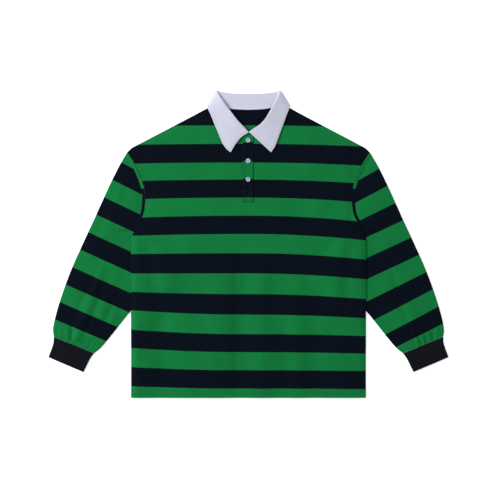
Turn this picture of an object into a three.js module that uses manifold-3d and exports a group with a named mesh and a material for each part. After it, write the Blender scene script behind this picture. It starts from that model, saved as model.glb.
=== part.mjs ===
// A long-sleeved rugby polo shirt with three buttons, laid out flat on its back with its sleeves turned down.
// Millimetres, +Z up. +Y runs from the hem to the collar and +X to the wearer's left. The origin is on the surface
// that the shirt lies on, under the middle of its outline. Each piece that is cut and sewn on is one mesh.
import * as THREE from "three";
import { mergeVertices } from "three/addons/utils/BufferGeometryUtils.js";
import Module from "manifold-3d";

const wasm = await Module();
wasm.setup();

// ---- Driving dimensions ----
const JERSEY = 1.2; // wall of the body and sleeve cloth
const TWILL = 1.6; // wall of the collar, two layers fused together
const RIB = 2.2; // wall of a cuff, ribbing folded double
const BAND = 1.6; // wall of the upper placket strip, folded double
const GAP = 0.3; // between two pieces at a seam, and between layers that lie on each other
const SEAM_SHIFT = 0.45; // sideways step that leaves at least GAP along a slanting seam

const HALF_CHEST = 300;
const HEM_Y = -391.6;
const HEM_DEPTH = 20; // height of the turned-up hem
const HEM_FADE = 3;
const ARMPIT = { out: HALF_CHEST, up: 16 };
const SHOULDER_BEND = { out: 299, up: 246 };
const NECK_POINT = { out: 89.5, up: 356 };
const FLAT_SLEEVE = 2 * JERSEY + GAP; // the two layers of a sleeve pressed together
const RIGHT_ARM_AIR = 0.9; // the wearer's right arm lies a little flatter than the left

// ---- Tables. out: distance from the centre line; up: +Y; z: height above the surface ----
const ARMHOLE = [
  { out: 309.8, up: 235.2 },
  { out: 292, up: 206.8 },
  { out: 276, up: 172.3 },
  { out: 265.4, up: 139 },
  { out: 264.3, up: 112 },
  { out: 268.4, up: 77.7 },
  { out: 281.2, up: 51.6 },
  { out: ARMPIT.out, up: ARMPIT.up },
];
const FRONT_NECK = [
  { out: 0, up: 284 },
  { out: 18, up: 290 },
  { out: 48, up: 309 },
  { out: 72, up: 333 },
  { out: NECK_POINT.out, up: NECK_POINT.up },
];
const BACK_NECK = [
  { out: NECK_POINT.out, up: NECK_POINT.up },
  { out: 45, up: 346.5 },
  { out: 0, up: 344 },
];
// The part of a sleeve that is folded away under the body: a triangle with its third corner on the side edge.
const TUCK = [
  { out: ARMPIT.out, up: ARMPIT.up },
  { out: 238, up: -90 },
  { out: HALF_CHEST, up: -169.5 },
];
// Sections of a sleeve from below the armhole to the wrist, each from its outer fold to its underarm fold.
// loft: air between the two layers, where the section is also a line of the sleeve's grid.
const SLEEVE = [
  { outX: 330.8, outY: 200.4, inX: 284, inY: -12 },
  { outX: 351, outY: 159, inX: 262, inY: -48 },
  { outX: 374, outY: 109, inX: 243, inY: -80 },
  { outX: 399, outY: 54, inX: 247, inY: -107, loft: 3.2 },
  { outX: 425, outY: -2, inX: 272, inY: -136, loft: 3.2 },
  { outX: 450, outY: -58, inX: 300, inY: -169.5, loft: 3.2 },
  { outX: 471, outY: -113, inX: 327, inY: -203, loft: 3.4 },
  { outX: 489, outY: -169, inX: 354, inY: -237, loft: 3.6 },
  { outX: 499, outY: -214, inX: 377, inY: -264, loft: 3.6 },
  { outX: 497, outY: -236, inX: 394, inY: -278, loft: 2.4 },
];
// The first lines of a sleeve's grid, which pass beyond the armhole so that its outline can cut them off.
const SLEEVE_HEAD = [
  { outX: 298, outY: 259, inX: 236, inY: 60, loft: 0 },
  { outX: 333, outY: 201.5, inX: 231, inY: -18, loft: 1.8 },
  { outX: 353, outY: 160, inX: 229, inY: -72, loft: 2.6 },
  { outX: 376, outY: 110, inX: 231, inY: -105, loft: 3 },
];
const CUFF = [
  { outX: 497, outY: -236, inX: 394, inY: -278, loft: 0.6 },
  { outX: 498.5, outY: -254, inX: 404, inY: -292, loft: 0.8 },
  { outX: 510.3, outY: -287.3, inX: 420.5, inY: -325.4, loft: 0.8 },
];
// Sections of one half of the collar, from the centre front to the neck point. roll is the fold between the stand
// and the fall, edge is the free edge of the fall. turn: 0 where the fall lies on top, 180 where it lies below.
// cut: how far the fall's front edge is hollowed.
const LEFT_LEAF = [
  { rollOut: 2.2, rollUp: 285.6, rollZ: 8.2, edgeOut: 57.5, edgeUp: 235, edgeLift: 1.2, turn: 0, cut: 0 },
  { rollOut: 14.5, rollUp: 294.5, rollZ: 9.5, edgeOut: 67, edgeUp: 249, edgeLift: 1.4, turn: 0, cut: 0 },
  { rollOut: 28.6, rollUp: 303.8, rollZ: 10.6, edgeOut: 74, edgeUp: 267, edgeLift: 1.6, turn: 0, cut: 0 },
  { rollOut: 41.7, rollUp: 317.5, rollZ: 11.6, edgeOut: 82, edgeUp: 289, edgeLift: 1.6, turn: 0, cut: 0 },
  { rollOut: 51.8, rollUp: 333.5, rollZ: 12, edgeOut: 89.5, edgeUp: 309, edgeLift: 1.4, turn: 0, cut: 0 },
  { rollOut: 61.5, rollUp: 352.5, rollZ: 11.6, edgeOut: 96.5, edgeUp: 328.5, edgeLift: 1.2, turn: 8, cut: 0 },
  { rollOut: 72, rollUp: 374, rollZ: 10.2, edgeOut: 103, edgeUp: 345, edgeLift: 1, turn: 30, cut: 0 },
];
const RIGHT_LEAF = [
  { rollOut: 0.8, rollUp: 285.6, rollZ: 8.2, edgeOut: 45.5, edgeUp: 235, edgeLift: 1.2, turn: 0, cut: 5.5 },
  { rollOut: 13.3, rollUp: 299.4, rollZ: 9.5, edgeOut: 56, edgeUp: 243.5, edgeLift: 1.4, turn: 0, cut: 0 },
  { rollOut: 25.6, rollUp: 312, rollZ: 10.6, edgeOut: 66.5, edgeUp: 258.5, edgeLift: 1.6, turn: 0, cut: 0 },
  { rollOut: 37.8, rollUp: 327.4, rollZ: 11.6, edgeOut: 76.5, edgeUp: 282.8, edgeLift: 1.6, turn: 0, cut: 0 },
  { rollOut: 48.3, rollUp: 341.8, rollZ: 12, edgeOut: 87, edgeUp: 307, edgeLift: 1.4, turn: 0, cut: 0 },
  { rollOut: 59.1, rollUp: 356, rollZ: 11.6, edgeOut: 95.5, edgeUp: 328.5, edgeLift: 1.2, turn: 8, cut: 0 },
  { rollOut: 70.6, rollUp: 374, rollZ: 10.2, edgeOut: 103, edgeUp: 345, edgeLift: 1, turn: 30, cut: 0 },
];
// The rest of the half collar, from the neck point round to the centre back, where the fall lies on the surface.
const COLLAR_BACK = [
  { seamAt: 0, seamZ: 4.4, rollOut: 80.5, rollUp: 391.3, rollZ: 6.4, edgeOut: 105.8, edgeUp: 354.6, edgeZ: 3.6, turn: 90 },
  { seamAt: 0.1, seamZ: 4.3, rollOut: 75, rollUp: 389.6, rollZ: 4, edgeOut: 99.5, edgeUp: 353.6, edgeZ: 0.9, turn: 130 },
  { seamAt: 0.3, seamZ: 3.6, rollOut: 68, rollUp: 388.2, rollZ: 3, edgeOut: 90, edgeUp: 349, edgeZ: 0.9, turn: 165 },
  { seamAt: 0.6, seamZ: 3.2, rollOut: 38, rollUp: 384.6, rollZ: 2.9, edgeOut: 46, edgeUp: 336.5, edgeZ: 0.8, turn: 180 },
  { seamAt: 1, seamZ: 3.2, rollOut: 0, rollUp: 383.8, rollZ: 2.9, edgeOut: 0, edgeUp: 332, edgeZ: 0.8, turn: 180 },
];
const ROLL_RADIUS = 2.1; // of the fold between the collar's stand and its fall

// Soft ridges of the front, each along a line from the first point to the second.
const FOLDS = [
  { x0: 5, y0: 0, x1: 5, y1: -392, wide: 44, high: 1.6 },
  { x0: -150, y0: -60, x1: -120, y1: -392, wide: 55, high: 1 },
  { x0: 160, y0: -40, x1: 130, y1: -392, wide: 60, high: 1.1 },
  { x0: -255, y0: 90, x1: -120, y1: 10, wide: 45, high: 0.9 },
  { x0: 255, y0: 90, x1: 120, y1: 10, wide: 45, high: 0.9 },
];
const BASE_LOFT = 0.8; // air under the front, away from its edges

const PLACKET = { left: -14.3, right: 11.7, bottom: 108.4, top: 283.2, corner: 8 };
const SLOT_INSET = 3; // how far the upper strip reaches past each edge of the opening that it covers
const BUTTON_X = -1;
const BUTTON_Y = [265.6, 213, 165.7];
const BUTTON = { radius: 5.9, thick: 2.4, rim: 1.3, dish: 0.6, hole: 0.75, holeFromCentre: 1.6 };

// ---- Lines of the grid that all the flat pieces share ----
const HALF_COLUMNS = [0, 22, 48, 90, 130, 165, 195, 222, 246, 268, 286, 300, 325];
const COLUMNS = [...HALF_COLUMNS.slice(1).map((x) => -x).reverse(), ...HALF_COLUMNS];
const FIRST_ROW = HEM_Y + HEM_DEPTH + HEM_FADE;
const ROW_COUNT = 27;
const TOP_ROW = 372;
const ROWS = [HEM_Y - 5, HEM_Y + HEM_DEPTH];
for (let i = 0; i <= ROW_COUNT; i++) ROWS.push(FIRST_ROW + ((TOP_ROW - FIRST_ROW) * i) / ROW_COUNT);

// ---- Small helpers ----
const mix = (a, b, s) => a + (b - a) * s;

// 0 before from, 1 after to, and an S-curve between them.
function ease(from, to, value) {
  const s = THREE.MathUtils.clamp((value - from) / (to - from), 0, 1);
  return s * s * (3 - 2 * s);
}

const curveThrough = (rows) => new THREE.SplineCurve(rows.map((r) => new THREE.Vector2(r.out, r.up)));

// A closed geometry as a manifold-3d solid.
function toSolid(geometry) {
  const bare = geometry.clone();
  for (const name of Object.keys(bare.attributes)) if (name !== "position") bare.deleteAttribute(name);
  const merged = mergeVertices(bare, 1e-4);
  return new wasm.Manifold(
    new wasm.Mesh({
      numProp: 3,
      vertProperties: new Float32Array(merged.attributes.position.array),
      triVerts: new Uint32Array(merged.index.array),
    }),
  );
}

function toGeometry(solid) {
  const mesh = solid.getMesh();
  const geometry = new THREE.BufferGeometry();
  geometry.setAttribute("position", new THREE.BufferAttribute(new Float32Array(mesh.vertProperties), 3));
  geometry.setIndex(new THREE.BufferAttribute(new Uint32Array(mesh.triVerts), 1));
  geometry.computeVertexNormals();
  return geometry;
}

function indexedGeometry(points, faces) {
  const geometry = new THREE.BufferGeometry();
  geometry.setAttribute("position", new THREE.Float32BufferAttribute(points.flat(), 3));
  geometry.setIndex(faces.flat());
  geometry.computeVertexNormals();
  return geometry;
}

// ---- Heights of the body's layers ----
// How far (x, y) lies on the centre's side of the line from a to b.
function pastLine(a, b, x, y) {
  const length = Math.hypot(b.out - a.out, b.up - a.up);
  return ((x - a.out) * (b.up - a.up) - (y - a.up) * (b.out - a.out)) / length;
}

function liftOverSleeve(x, y) {
  const away = Math.max(pastLine(TUCK[0], TUCK[1], Math.abs(x), y), pastLine(TUCK[1], TUCK[2], Math.abs(x), y));
  return (FLAT_SLEEVE + 1.5 * GAP) * (1 - ease(32, 78, away));
}

function liftOverFall(x, y) {
  const centreBack = COLLAR_BACK[COLLAR_BACK.length - 1];
  const corner = COLLAR_BACK[0];
  const edgeUp = mix(centreBack.edgeUp, corner.edgeUp, (x / corner.edgeOut) ** 2);
  const away = Math.max(edgeUp - y, Math.abs(x) - corner.edgeOut);
  return (TWILL + 2 * GAP) * (1 - ease(8, 44, away));
}

// How far inside the armhole, side and shoulder edges a point is, near enough for fading the loft out.
function insideEdges(x, y) {
  const fromSide = HALF_CHEST - Math.abs(x);
  const fromShoulder = pastLine(NECK_POINT, SHOULDER_BEND, Math.abs(x), y);
  const fromArmhole = y > ARMPIT.up ? ARMHOLE[4].out - Math.abs(x) : fromSide;
  return Math.min(fromSide, fromShoulder, mix(fromSide, fromArmhole, ease(ARMPIT.up, 60, y)));
}

function foldHeight(fold, x, y) {
  const dx = fold.x1 - fold.x0;
  const dy = fold.y1 - fold.y0;
  const along = THREE.MathUtils.clamp(((x - fold.x0) * dx + (y - fold.y0) * dy) / (dx * dx + dy * dy), 0, 1);
  const off = Math.hypot(x - fold.x0 - along * dx, y - fold.y0 - along * dy);
  return fold.high * (1 - ease(0, fold.wide, off)) * ease(0, 0.35, along);
}

function frontLoft(x, y) {
  const folds = FOLDS.reduce((sum, fold) => sum + foldHeight(fold, x, y), BASE_LOFT);
  return folds * ease(0, 50, insideEdges(x, y)) * ease(0, 40, NECK_POINT.up - y);
}

const hemShare = (y) => 1 - ease(HEM_Y + HEM_DEPTH, HEM_Y + HEM_DEPTH + HEM_FADE, y);
const backLow = (x, y) => liftOverSleeve(x, y) + liftOverFall(x, y);
const backTop = (x, y) => backLow(x, y) + JERSEY * (1 + hemShare(y));
const frontLow = (x, y) => backTop(x, y) + GAP + frontLoft(x, y);
const frontTop = (x, y) => frontLow(x, y) + JERSEY * (1 + hemShare(y));

// ---- Flat pieces: a draped slab cut to an outline ----
const bodyGrid = () => ROWS.map((y) => COLUMNS.map((x) => ({ x, y })));

function drapedSlab(low, top, grid) {
  const [along, across] = [grid.length, grid[0].length];
  const points = [low, top].flatMap((height) => grid.flatMap((row) => row.map((p) => [p.x, p.y, height(p.x, p.y, p)])));
  const at = (layer, row, column) => (layer * along + row) * across + column;
  const faces = [];
  for (let r = 0; r + 1 < along; r++)
    for (let c = 0; c + 1 < across; c++)
      for (const layer of [0, 1]) {
        const [a, b, d, e] = [at(layer, r, c), at(layer, r, c + 1), at(layer, r + 1, c + 1), at(layer, r + 1, c)];
        faces.push(layer ? [a, b, d, a, d, e] : [a, d, b, a, e, d]);
      }
  const rim = [];
  for (let c = 0; c + 1 < across; c++) rim.push([0, c]);
  for (let r = 0; r + 1 < along; r++) rim.push([r, across - 1]);
  for (let c = across - 1; c > 0; c--) rim.push([along - 1, c]);
  for (let r = along - 1; r > 0; r--) rim.push([r, 0]);
  rim.forEach(([r, c], i) => {
    const [nextRow, nextColumn] = rim[(i + 1) % rim.length];
    const [a, b] = [at(0, r, c), at(0, nextRow, nextColumn)];
    const [d, e] = [at(1, nextRow, nextColumn), at(1, r, c)];
    faces.push([a, b, d, a, d, e]);
  });
  return toSolid(indexedGeometry(points, faces));
}

function slabInOutline(low, top, outline, grid) {
  const shape = new THREE.Shape(outline.map(([x, y]) => new THREE.Vector2(x, y)));
  const cutter = new THREE.ExtrudeGeometry(shape, { depth: 60, bevelEnabled: false, curveSegments: 6 });
  cutter.translate(0, 0, -20);
  return drapedSlab(low, top, grid).intersect(toSolid(cutter));
}

const cutToOutline = (low, top, outline) => toGeometry(slabInOutline(low, top, outline, bodyGrid()));

// A half outline from the hem to the centre of the neck, mirrored into a whole one.
function mirrored(half) {
  const left = half.map(([x, y]) => [-x, y]).reverse();
  return [...half, ...left.filter(([x]) => x !== 0)];
}

const ARMHOLE_STEPS = 10;
const armholeCurve = curveThrough(ARMHOLE);
const armholePoint = (share) => armholeCurve.getPoint(share);

function sideAndShoulder() {
  const half = [[HALF_CHEST, HEM_Y]];
  for (let i = ARMHOLE_STEPS; i >= 0; i--) half.push(armholePoint(i / ARMHOLE_STEPS).toArray());
  half.push([SHOULDER_BEND.out, SHOULDER_BEND.up]);
  return half;
}

// Points of a neckline moved away from the collar's seam, towards the body's cloth.
function neckline(rows, steps, reverse) {
  const curve = curveThrough(rows);
  const points = [];
  for (let i = 0; i <= steps; i++) {
    const p = curve.getPoint(i / steps);
    points.push([p.x === 0 ? 0 : p.x + 2 * SEAM_SHIFT, p.y - 2.5 * SEAM_SHIFT]);
  }
  return reverse ? points.reverse() : points;
}

function backPanel() {
  const outline = mirrored([...sideAndShoulder(), ...neckline(BACK_NECK, 5, false)]);
  return cutToOutline(backLow, backTop, outline);
}

const slotLeft = PLACKET.left + SLOT_INSET;
const slotRight = PLACKET.right - SLOT_INSET;
const slotBottom = PLACKET.bottom + SLOT_INSET * 2;

function frontPanel() {
  const half = [...sideAndShoulder(), ...neckline(FRONT_NECK, 7, true)];
  const openSide = (edge) => half.filter(([x]) => x > Math.abs(edge));
  const neckUp = FRONT_NECK[0].up + 1;
  const right = [...openSide(slotRight), [slotRight, neckUp], [slotRight, slotBottom]];
  const left = [...openSide(slotLeft), [-slotLeft, neckUp], [-slotLeft, slotBottom]];
  return cutToOutline(frontLow, frontTop, [...right, ...left.map(([x, y]) => [-x, y]).reverse()]);
}

// The strip under the opening, which carries the buttons, fills the slot in the front.
function underPlacket() {
  const [left, right] = [slotLeft + GAP, slotRight - GAP];
  const [bottom, top] = [slotBottom + GAP, PLACKET.top - GAP];
  return cutToOutline(frontLow, frontTop, [[left, bottom], [right, bottom], [right, top], [left, top]]);
}

const bandLow = (x, y) => frontTop(x, y) + GAP;
const bandTop = (x, y) => bandLow(x, y) + BAND;

function upperPlacket() {
  const { left, right, bottom, top, corner } = PLACKET;
  const outline = [[left, bottom], [right, bottom], [right, top]];
  const CORNER_STEPS = 5;
  for (let i = 0; i <= CORNER_STEPS; i++) {
    const angle = Math.PI / 2 + (i / CORNER_STEPS) * (Math.PI / 2);
    outline.push([left + corner + corner * Math.cos(angle), top - corner + corner * Math.sin(angle)]);
  }
  return cutToOutline(bandLow, bandTop, outline);
}

// ---- Sleeves: a slab of two flat layers, hollowed between them and open at both ends ----
// The grid's lines run across the arm from outside the outer fold to outside the underarm fold.
function sleeveGrid(air) {
  const OVER = 4; // how far the lines pass the folds
  const [COLUMN_STEPS, LAST] = [8, SLEEVE.length - 1];
  const lines = [...SLEEVE_HEAD, ...SLEEVE.filter((row) => row.loft)].map((row) => ({ ...row }));
  const [before, end] = [SLEEVE[LAST - 1], SLEEVE[LAST]];
  const beyond = (key) => end[key] + 0.3 * (end[key] - before[key]);
  lines.push({ outX: beyond("outX") + 4, outY: beyond("outY"), inX: beyond("inX"), inY: beyond("inY"), loft: end.loft });
  return lines.map((row) => {
    const length = Math.hypot(row.outX - row.inX, row.outY - row.inY);
    return Array.from({ length: COLUMN_STEPS + 1 }, (_, i) => {
      const share = mix(-OVER / length, 1 + OVER / length, i / COLUMN_STEPS);
      const [x, y] = [mix(row.outX, row.inX, share), mix(row.outY, row.inY, share)];
      const clearOfBody = ease(HALF_CHEST + 34, HALF_CHEST + 76, x);
      const arch = 0.55 + 0.45 * Math.sin(Math.PI * THREE.MathUtils.clamp(share, 0, 1));
      return { x, y, height: FLAT_SLEEVE + air * row.loft * clearOfBody * arch };
    });
  });
}

// The outline, with the folds drawn in by inset and the two ends put out by reach.
function sleeveOutline(inset, reach) {
  const fold = (side) => [{ outX: ARMHOLE[0].out, outY: ARMHOLE[0].up, inX: ARMPIT.out, inY: ARMPIT.up }, ...SLEEVE].map(
    (row) => [row[side + "X"] + SEAM_SHIFT, row[side + "Y"]],
  );
  const drawnIn = (path, hand) =>
    path.map(([x, y], i) => {
      const [p, q] = [path[Math.max(i - 1, 0)], path[Math.min(i + 1, path.length - 1)]];
      const length = Math.hypot(q[0] - p[0], q[1] - p[1]);
      return [x + (hand * inset * (q[1] - p[1])) / length, y - (hand * inset * (q[0] - p[0])) / length];
    });
  const [outer, inner] = [drawnIn(fold("out"), 1), drawnIn(fold("in"), -1)];
  const putOut = (path) => {
    const [p, q] = path.slice(-2);
    const length = Math.hypot(q[0] - p[0], q[1] - p[1]);
    return [q[0] + (reach * (q[0] - p[0])) / length, q[1] + (reach * (q[1] - p[1])) / length];
  };
  const armhole = [];
  for (let i = reach ? 0 : 1; i < ARMHOLE_STEPS + (reach ? 1 : 0); i++) {
    const p = armholePoint(i / ARMHOLE_STEPS);
    armhole.push([p.x + SEAM_SHIFT - reach, p.y + (i ? 0 : reach)]);
  }
  const ends = reach ? [putOut(inner), putOut(outer)] : [];
  return [...armhole, ...inner, ...ends, ...outer.reverse()];
}

function sleeve(mirror) {
  const grid = sleeveGrid(mirror ? RIGHT_ARM_AIR : 1);
  const top = (x, y, spot) => spot.height;
  const cloth = slabInOutline(() => 0, top, sleeveOutline(0, 0), grid);
  const hollow = slabInOutline(() => JERSEY, (x, y, spot) => spot.height - JERSEY, sleeveOutline(JERSEY, 3), grid);
  const left = cloth.subtract(hollow);
  return toGeometry(mirror ? left.mirror([1, 0, 0]) : left);
}

// ---- Cuffs: each a ring of wall lying flat ----
// The point on a section's line at a share of the way from its outer fold to its underarm fold.
const sectionPoint = (row, share) => [mix(row.outX, row.inX, share) + SEAM_SHIFT, mix(row.outY, row.inY, share)];

// One closed loop round a section: along the underside, round the underarm fold, back over the top, round the
// outer fold. inset is how far the loop lies inside the cloth's outer face.
function sectionLoop(row, wall, inset, steps) {
  const length = Math.hypot(row.outX - row.inX, row.outY - row.inY);
  const flat = 2 * wall + GAP;
  const place = (share, lift) => {
    const height = flat + row.loft * (0.55 + 0.45 * Math.sin(Math.PI * share));
    return [...sectionPoint(row, share), lift(height)];
  };
  const under = () => inset;
  const over = (h) => h - inset;
  const middle = (h) => h / 2;
  const curl = (flat / 2 + inset) / length; // where the fold starts to curl
  const lip = inset / length;
  const shares = Array.from({ length: steps + 1 }, (_, i) => THREE.MathUtils.clamp(i / steps, curl, 1 - curl));
  return [
    ...shares.map((s) => place(s, under)),
    place(1 - lip, middle),
    ...shares.map((s) => place(s, over)).reverse(),
    place(lip, middle),
  ];
}

function tube(rows, wall, steps, mirror) {
  const outer = rows.map((row) => sectionLoop(row, wall, 0, steps));
  const inner = rows.map((row) => sectionLoop(row, wall, wall, steps));
  const around = outer[0].length;
  const last = rows.length - 1;
  const points = [...outer.flat(), ...inner.flat()];
  if (mirror) points.forEach((p) => (p[0] = -p[0]));
  const at = (layer, ring, i) => (layer * rows.length + ring) * around + (i % around);
  const faces = [];
  const apart = (i, j) => Math.hypot(...points[i].map((value, axis) => value - points[j][axis]));
  const quad = (a, b, c, d) => {
    const split = apart(a, c) < apart(b, d) ? [a, b, c, a, c, d] : [b, c, d, b, d, a]; // on the shorter diagonal
    faces.push(mirror ? split.reverse() : split);
  };
  for (let i = 0; i < around; i++) {
    for (let k = 0; k < last; k++) {
      quad(at(0, k, i), at(0, k + 1, i), at(0, k + 1, i + 1), at(0, k, i + 1));
      quad(at(1, k, i), at(1, k, i + 1), at(1, k + 1, i + 1), at(1, k + 1, i));
    }
    quad(at(0, 0, i), at(0, 0, i + 1), at(1, 0, i + 1), at(1, 0, i));
    quad(at(0, last, i), at(1, last, i), at(1, last, i + 1), at(0, last, i + 1));
  }
  return indexedGeometry(points, faces);
}

// The cuff's sections start GAP beyond the sleeve's last one.
function cuffRows() {
  const last = CUFF[CUFF.length - 1];
  const [dx, dy] = [last.outX - CUFF[0].outX, last.outY - CUFF[0].outY];
  const step = (2 * GAP) / Math.hypot(dx, dy);
  return CUFF.map((row) => ({
    ...row,
    outX: row.outX + dx * step,
    outY: row.outY + dy * step,
    inX: row.inX + dx * step,
    inY: row.inY + dy * step,
  }));
}

// ---- Collar: one sheet from the left point round the neck to the right point, with a wall on both sides of it ----
// The points across the collar at one station, from the neck seam over the roll to the free edge. side is 1 on
// the wearer's left and -1 on the right.
function collarStation({ seam, roll, edge, turn, cut }, side) {
  const angle = THREE.MathUtils.degToRad(turn);
  const standSide = new THREE.Vector3(-Math.sin(angle) * side, 0, -Math.cos(angle));
  const inward = seam.clone().sub(roll).setZ(0).normalize();
  const outward = edge.clone().sub(roll).setZ(0).normalize();
  const hollow = new THREE.Vector3(outward.y * side, -outward.x * side, 0).multiplyScalar(-cut);
  const standTop = roll.clone().addScaledVector(inward, 0.8 * ROLL_RADIUS).addScaledVector(standSide, ROLL_RADIUS);
  const fallTop = roll.clone().addScaledVector(outward, 0.8 * ROLL_RADIUS).addScaledVector(standSide, -ROLL_RADIUS);
  const between = (a, b, s, extra = 0) => a.clone().lerp(b, s).addScaledVector(hollow, extra);
  return [
    seam,
    between(seam, standTop, 0.5),
    standTop,
    roll,
    fallTop,
    between(fallTop, edge, 0.3, 1),
    between(fallTop, edge, 0.65, 0.8),
    edge,
  ];
}

function collarStations() {
  const frontCurve = curveThrough(FRONT_NECK);
  const backCurve = curveThrough(BACK_NECK);
  const half = (leaf, side) => {
    const front = leaf.map((row, i) => {
      const seam = frontCurve.getPoint(Math.max(i / leaf.length, 0.012));
      const edgeZ = frontTop(side * row.edgeOut, row.edgeUp) + GAP + TWILL / 2 + row.edgeLift;
      const onStrip = i === 0 ? BAND + 2 * GAP + TWILL : 0;
      return {
        seam: new THREE.Vector3(side * seam.x, seam.y, frontTop(side * seam.x, seam.y) - JERSEY / 6 + onStrip),
        roll: new THREE.Vector3(side * row.rollOut, row.rollUp, row.rollZ),
        edge: new THREE.Vector3(side * row.edgeOut, row.edgeUp, edgeZ),
        turn: row.turn,
        cut: row.cut,
      };
    });
    const back = COLLAR_BACK.map((row) => {
      const seam = backCurve.getPoint(row.seamAt);
      return {
        seam: new THREE.Vector3(side * seam.x, seam.y, row.seamZ),
        roll: new THREE.Vector3(side * row.rollOut, row.rollUp, row.rollZ),
        edge: new THREE.Vector3(side * row.edgeOut, row.edgeUp, row.edgeZ),
        turn: row.turn,
        cut: 0,
      };
    });
    return [...front, ...back].map((station) => collarStation(station, side));
  };
  return [...half(LEFT_LEAF, 1), ...half(RIGHT_LEAF, -1).reverse().slice(1)];
}

// A sheet given as rows of points, as a closed wall of that thickness.
function thickened(rows, wall) {
  const [many, across] = [rows.length, rows[0].length];
  const normal = (i, j) => {
    const along = rows[Math.min(i + 1, many - 1)][j].clone().sub(rows[Math.max(i - 1, 0)][j]);
    const over = rows[i][Math.min(j + 1, across - 1)].clone().sub(rows[i][Math.max(j - 1, 0)]);
    return over.cross(along).normalize();
  };
  const face = (share) =>
    rows.flatMap((row, i) => row.map((p, j) => p.clone().addScaledVector(normal(i, j), share * wall).toArray()));
  const points = [...face(0.5), ...face(-0.5)];
  const at = (layer, i, j) => layer * many * across + i * across + j;
  const faces = [];
  const quad = (a, b, c, d) => faces.push([a, b, c, a, c, d]);
  for (let i = 0; i + 1 < many; i++)
    for (let j = 0; j + 1 < across; j++) {
      quad(at(0, i, j), at(0, i, j + 1), at(0, i + 1, j + 1), at(0, i + 1, j));
      quad(at(1, i, j), at(1, i + 1, j), at(1, i + 1, j + 1), at(1, i, j + 1));
    }
  for (let i = 0; i + 1 < many; i++) {
    quad(at(0, i, 0), at(0, i + 1, 0), at(1, i + 1, 0), at(1, i, 0));
    quad(at(0, i, across - 1), at(1, i, across - 1), at(1, i + 1, across - 1), at(0, i + 1, across - 1));
  }
  for (let j = 0; j + 1 < across; j++) {
    quad(at(0, 0, j), at(1, 0, j), at(1, 0, j + 1), at(0, 0, j + 1));
    quad(at(0, many - 1, j), at(0, many - 1, j + 1), at(1, many - 1, j + 1), at(1, many - 1, j));
  }
  return indexedGeometry(points, faces);
}

// ---- Buttons: a dished disc with four thread holes ----
function button() {
  const { radius, thick, rim, dish, hole, holeFromCentre } = BUTTON;
  const profile = [
    [0, 0],
    [radius - 0.8, 0],
    [radius, 0.8],
    [radius, thick - 0.5],
    [radius - 0.5, thick],
    [radius - rim, thick],
    [radius - rim - 0.8, thick - dish],
    [0, thick - dish],
  ];
  const disc = new THREE.LatheGeometry(profile.map(([r, z]) => new THREE.Vector2(r, z)), 20);
  disc.rotateX(Math.PI / 2);
  let solid = toSolid(disc);
  if (solid.volume() < 0) throw new Error("the button's profile runs the wrong way");
  for (let i = 0; i < 4; i++) {
    const angle = Math.PI / 4 + (i * Math.PI) / 2;
    const drill = new THREE.CylinderGeometry(hole, hole, 4 * thick, 8);
    drill.rotateX(Math.PI / 2);
    drill.translate(holeFromCentre * Math.cos(angle), holeFromCentre * Math.sin(angle), 0);
    solid = solid.subtract(toSolid(drill));
  }
  return toGeometry(solid);
}

// ---- Materials, one for each cloth ----
const cloth = (color, roughness) => new THREE.MeshStandardMaterial({ color, roughness, metalness: 0 });
const greenJersey = cloth(0x17773d, 0.85);
const navyJersey = cloth(0x0a121e, 0.85);
const whiteTwill = cloth(0xdadceb, 0.8);
const blackRib = cloth(0x14161b, 0.9);
const pearl = new THREE.MeshStandardMaterial({ color: 0xd0dcf0, roughness: 0.3, metalness: 0 });

// ---- The shirt ----
const shirt = new THREE.Group();

function sewOn(name, geometry, material) {
  const mesh = new THREE.Mesh(geometry, material);
  mesh.name = name;
  shirt.add(mesh);
  return mesh;
}

sewOn("back_panel", backPanel(), greenJersey);
sewOn("front_panel", frontPanel(), greenJersey);
for (const [name, mirror] of [["left", false], ["right", true]]) {
  sewOn(`sleeve_${name}`, sleeve(mirror), greenJersey);
  sewOn(`cuff_${name}`, tube(cuffRows(), RIB, 6, mirror), blackRib);
}
sewOn("collar", thickened(collarStations(), TWILL), whiteTwill);
sewOn("placket_under", underPlacket(), navyJersey);
sewOn("placket_upper", upperPlacket(), navyJersey);
BUTTON_Y.forEach((y, i) => {
  const seat = Math.max(...[-1, 1].map((s) => bandTop(BUTTON_X, y + s * BUTTON.radius)));
  sewOn(`button_${i + 1}`, button(), pearl).position.set(BUTTON_X, y, seat + GAP);
});

export default shirt;
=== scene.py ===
# %% [markdown]
# # A long-sleeved polo shirt, laid flat
# The shirt lies on its back with its sleeves turned down beside it. It is heavy cotton jersey in
# green and navy stripes, with a white twill collar, a short buttoned placket and black ribbed
# cuffs. Every piece here follows the solid of the same name in the frame, so the frame is loaded
# first.

import math

import bmesh
import bpy
from mathutils import Matrix, Vector, noise


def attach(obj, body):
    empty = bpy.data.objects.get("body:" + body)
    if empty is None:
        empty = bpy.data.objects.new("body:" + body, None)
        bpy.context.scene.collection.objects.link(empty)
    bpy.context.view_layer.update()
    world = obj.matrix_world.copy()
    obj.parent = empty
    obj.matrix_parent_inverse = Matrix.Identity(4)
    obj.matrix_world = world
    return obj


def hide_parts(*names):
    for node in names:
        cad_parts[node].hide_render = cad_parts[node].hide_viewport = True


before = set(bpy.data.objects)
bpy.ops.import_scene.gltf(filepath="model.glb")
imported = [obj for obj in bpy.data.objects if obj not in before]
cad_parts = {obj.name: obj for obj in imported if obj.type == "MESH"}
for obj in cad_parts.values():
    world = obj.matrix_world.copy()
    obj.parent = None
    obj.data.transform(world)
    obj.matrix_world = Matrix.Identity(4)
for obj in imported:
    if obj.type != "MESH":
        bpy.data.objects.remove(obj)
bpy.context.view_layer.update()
MM = 0.001

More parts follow.
